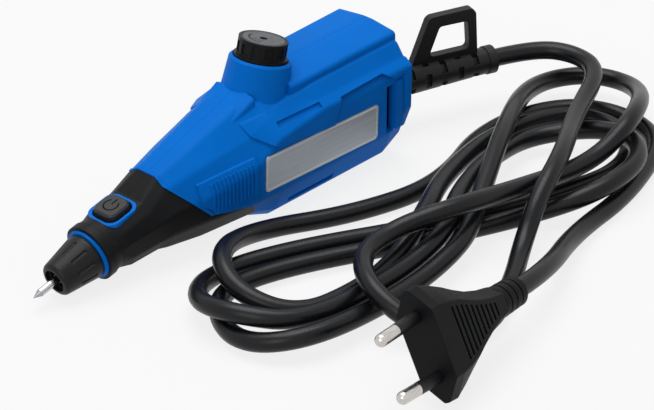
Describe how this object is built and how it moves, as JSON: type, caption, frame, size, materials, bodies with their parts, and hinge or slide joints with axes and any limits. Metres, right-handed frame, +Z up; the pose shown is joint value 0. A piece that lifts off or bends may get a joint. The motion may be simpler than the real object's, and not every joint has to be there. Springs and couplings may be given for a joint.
{
  "type": "electric engraver",
  "caption": "Corded vibrating engraver with a blue housing, black grip, needle nose, stroke knob, push button, hanging loop and flat two-pin plug.",
  "frame": {"origin": "on the table under the middle of the tool, half-way between needle point and rear face, on the mid-plane", "axes": "+X from the needle point to the tail, +Z up from the belly, -Y to the side on which the cord lies"},
  "size_m": [0.2303, 0.1487, 0.0573],
  "materials": {
    "blue_housing": "moulded, fine satin grain",
    "black_grip": "moulded, satin",
    "blue_trim": "moulded, satin",
    "black_knob": "moulded, satin",
    "knob_print": "dark grey plate",
    "label_silver": "satin, bare",
    "needle_steel": "ground bright",
    "carbide": "ground, dark grey",
    "plain_steel": "zinc plated",
    "magnet_iron": "soft iron, plain",
    "bronze": "sintered, plain",
    "coil_copper": "enamelled wire",
    "white_nylon": "moulded",
    "board_green": "lacquered board",
    "capacitor_yellow": "moulded case",
    "diode_black": "moulded case",
    "wire_brown": "extruded insulation",
    "wire_red": "extruded insulation",
    "cord_rubber": "satin, extruded",
    "plug_rubber": "matt, moulded",
    "pin_black": "moulded sleeve",
    "pin_nickel": "nickel plated"
  },
  "bodies": {
    "housing": {"left_housing_shell": "blue_housing", "right_housing_shell": "blue_housing", "left_grip_shell": "black_grip", "right_grip_shell": "black_grip", "left_label_plate": "label_silver", "right_label_plate": "label_silver", "nose_ring": "blue_trim", "guide_bush": "bronze", "button_bezel": "blue_trim", "switch_body": "diode_black", "solenoid_frame": "magnet_iron", "coil_bobbin": "white_nylon", "coil_winding": "coil_copper", "return_spring": "plain_steel", "spindle_bush": "bronze", "circuit_board": "board_green", "terminal_block": "white_nylon", "suppressor_capacitor": "capacitor_yellow", "rectifier_diode": "diode_black", "cord_clamp": "black_grip", "clamp_screws": "plain_steel", "inner_cord": "cord_rubber", "cord_cores": "wire_brown", "coil_leads": "wire_red", "switch_leads": "wire_brown", "housing_screws": "plain_steel", "strain_relief": "cord_rubber", "plug_body": "plug_rubber", "pin_sleeves": "pin_black", "plug_pins": "pin_nickel", "mains_cord": "cord_rubber"},
    "needle_drive": {"stylus": "needle_steel", "carbide_tip": "carbide", "needle_chuck": "plain_steel", "chuck_screw": "plain_steel", "drive_rod": "plain_steel", "plunger": "magnet_iron", "spring_clip": "plain_steel"},
    "push_button": {"power_button": "black_knob"},
    "stroke_knob": {"depth_knob": "black_knob", "knob_disc": "knob_print", "stop_spindle": "plain_steel", "spindle_clip": "plain_steel"},
    "cap": {"nose_cap": "black_grip"}
  },
  "joints": [
    {"name": "needle_stroke", "type": "slide", "parent": "housing", "child": "needle_drive", "axis": [-0.9744, 0, -0.225], "range_m": [0, 0.0015], "stiffness_N_per_m": 2000, "deforming": ["return_spring"]},
    {"name": "button_press", "type": "slide", "parent": "housing", "child": "push_button", "axis": [0.225, 0, -0.9744], "range_m": [0, 0.0012], "stiffness_N_per_m": 500},
    {"name": "knob_turn", "type": "hinge", "parent": "housing", "child": "stroke_knob", "pos_m": [0.0244, 0, 0.0488], "axis": [0.2487, 0, 0.9686], "range_deg": [-135, 135]},
    {"name": "cap_turn", "type": "hinge", "parent": "housing", "child": "cap", "pos_m": [-0.06063, 0, 0.00832], "axis": [-0.9744, 0, -0.225], "range_deg": [0, 350]}
  ]
}
